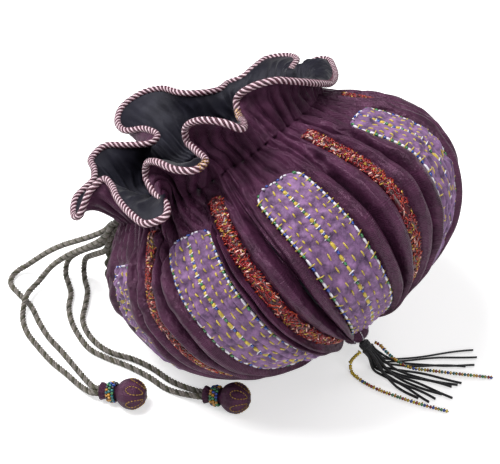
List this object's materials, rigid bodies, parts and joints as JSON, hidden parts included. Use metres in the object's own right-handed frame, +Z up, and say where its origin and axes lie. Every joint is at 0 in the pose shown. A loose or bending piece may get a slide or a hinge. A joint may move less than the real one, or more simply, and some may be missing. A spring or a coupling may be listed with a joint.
{
  "type": "potli bag",
  "caption": "Round drawstring pouch lying tilted, with velvet panels, beaded trims, a flared frill at the mouth, drawcords ending in fabric balls, a cord handle and a base tassel.",
  "frame": {"origin": "on the floor, at the middle of the flat patch that the bag rests on", "axes": "+Z up; the bag's own axis lies in the XZ plane and runs from the base, at +X, up to the mouth, at -X, 46 degrees above the floor; the drawcords lie on the -Y side"},
  "size_m": [0.2894, 0.2282, 0.194],
  "materials": {
    "silk": "dark aubergine silk with a soft sheen, gathered at the neck",
    "lining": "charcoal cotton sateen, almost matt",
    "velvet": "mauve velvet with a pale lilac sheen, quilted and embroidered",
    "beaded_trim": "dense red gimp and beads with gold glints",
    "piping": "white, pink and burgundy threads twisted together",
    "drawcord": "grey-olive and charcoal threads, twisted",
    "handle_cord": "olive-black twisted cords, plaited",
    "seed_beads": "shiny seed beads in green, blue, yellow and dark colours",
    "gold_thread": "gold metallic thread wound on a ring",
    "tassel_thread": "black cotton thread, loose strands"
  },
  "bodies": {
    "root": {"base_ball": "silk", "base_ring": "gold_thread", "bead_collar_1": "seed_beads", "bead_collar_2": "seed_beads", "bead_string_1": "seed_beads", "bead_string_2": "seed_beads", "beaded_trim_1": "beaded_trim", "beaded_trim_2": "beaded_trim", "beaded_trim_3": "beaded_trim", "beaded_trim_4": "beaded_trim", "beaded_trim_5": "beaded_trim", "beaded_trim_6": "beaded_trim", "beaded_trim_7": "beaded_trim", "beaded_trim_8": "beaded_trim", "body_lining": "lining", "body_silk": "silk", "drawcord_1a": "drawcord", "drawcord_1b": "drawcord", "drawcord_2a": "drawcord", "drawcord_2b": "drawcord", "frill_lining": "lining", "frill_silk": "silk", "handle_plait": "handle_cord", "neck_cord_1": "drawcord", "neck_cord_2": "drawcord", "rim_piping": "piping", "stopper_ball_1": "silk", "stopper_ball_2": "silk", "tassel_head": "tassel_thread", "tassel_strand_01": "tassel_thread", "tassel_strand_02": "tassel_thread", "tassel_strand_03": "tassel_thread", "tassel_strand_04": "tassel_thread", "tassel_strand_05": "tassel_thread", "tassel_strand_06": "tassel_thread", "tassel_strand_07": "tassel_thread", "tassel_strand_08": "tassel_thread", "tassel_strand_09": "tassel_thread", "tassel_strand_10": "tassel_thread", "tassel_strand_11": "tassel_thread", "tassel_strand_12": "tassel_thread", "velvet_panel_1": "velvet", "velvet_panel_2": "velvet", "velvet_panel_3": "velvet", "velvet_panel_4": "velvet", "velvet_panel_5": "velvet", "velvet_panel_6": "velvet", "velvet_panel_7": "velvet", "velvet_panel_8": "velvet"}
  },
  "joints": []
}
